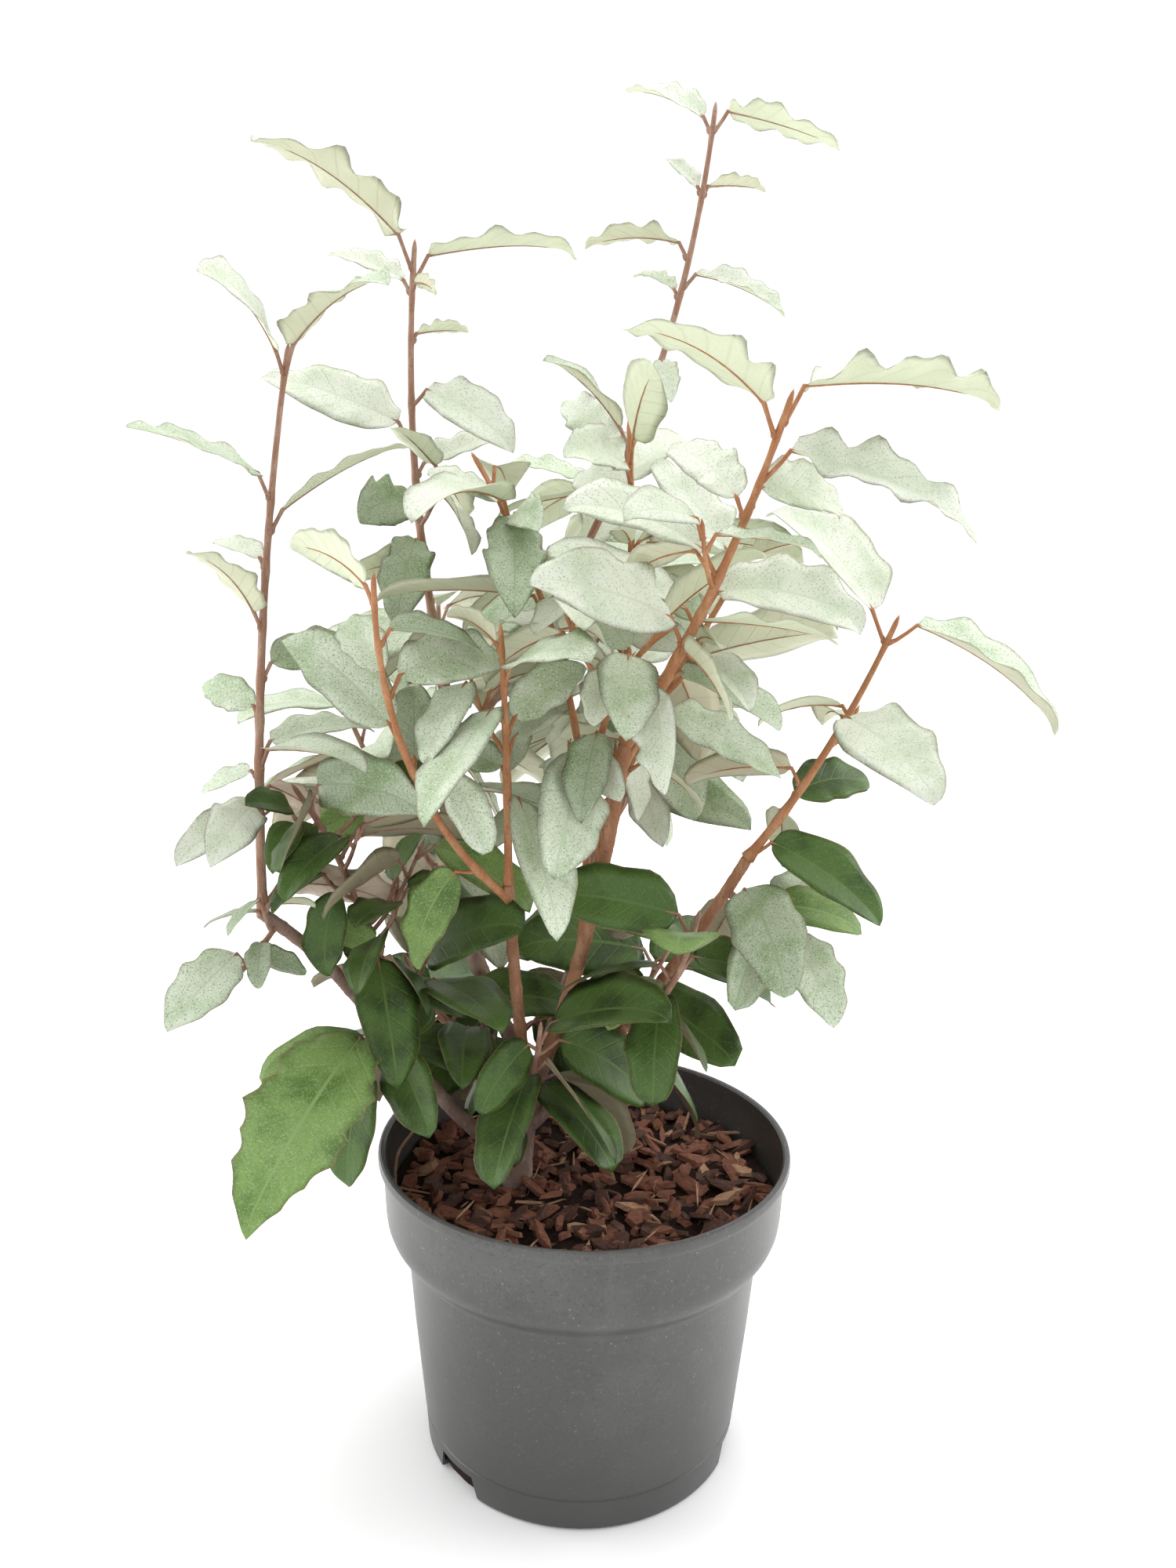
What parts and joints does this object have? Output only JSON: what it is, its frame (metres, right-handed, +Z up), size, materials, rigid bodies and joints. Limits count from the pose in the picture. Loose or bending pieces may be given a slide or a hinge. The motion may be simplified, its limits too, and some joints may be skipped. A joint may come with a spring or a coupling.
{
  "type": "potted elaeagnus shrub",
  "caption": "Young evergreen shrub in a round plastic nursery pot: a short forked trunk, bare boughs and upright leafy shoots over bark-chip compost.",
  "frame": {"origin": "middle of the pot's flat underside", "axes": "+Z up along the pot's axis; -Y is the side seen in the picture, and +X is its right"},
  "size_m": [0.3527, 0.2887, 0.6156],
  "materials": {
    "pot_plastic": "moulded dark grey plastic, slightly dusty",
    "bark_chips": "loose dark red-brown bark chips over moist compost",
    "bark": "grey-brown bark, orange-brown and scurfy on young growth",
    "young_leaves": "pale silvery grey-green leaves with fine scales, silver-beige below",
    "old_leaves": "dark green leaves with a soft gloss, silver-beige below"
  },
  "bodies": {
    "root": {"back_bough": "bark", "back_left_bough": "bark", "back_left_foliage": "young_leaves", "back_left_side_foliage": "young_leaves", "back_low_left_foliage": "old_leaves", "back_low_right_foliage": "old_leaves", "back_middle_foliage": "young_leaves", "back_right_foliage": "young_leaves", "centre_foliage": "young_leaves", "centre_right_foliage": "young_leaves", "centre_top_foliage": "young_leaves", "front_bough": "bark", "front_left_foliage": "young_leaves", "front_low_foliage": "old_leaves", "front_low_right_foliage": "old_leaves", "front_middle_foliage": "young_leaves", "left_arm": "bark", "left_bough": "bark", "left_inner_foliage": "young_leaves", "left_outer_foliage": "young_leaves", "left_sprig_foliage": "old_leaves", "low_left_foliage": "old_leaves", "low_left_inner_foliage": "old_leaves", "low_right_bough": "bark", "low_right_foliage": "young_leaves", "low_right_skirt_foliage": "old_leaves", "middle_bough": "bark", "pot": "pot_plastic", "right_back_foliage": "young_leaves", "right_bough": "bark", "right_front_foliage": "young_leaves", "soil": "bark_chips", "tall_left_foliage": "young_leaves", "tall_middle_foliage": "young_leaves", "trunk": "bark"}
  },
  "joints": []
}
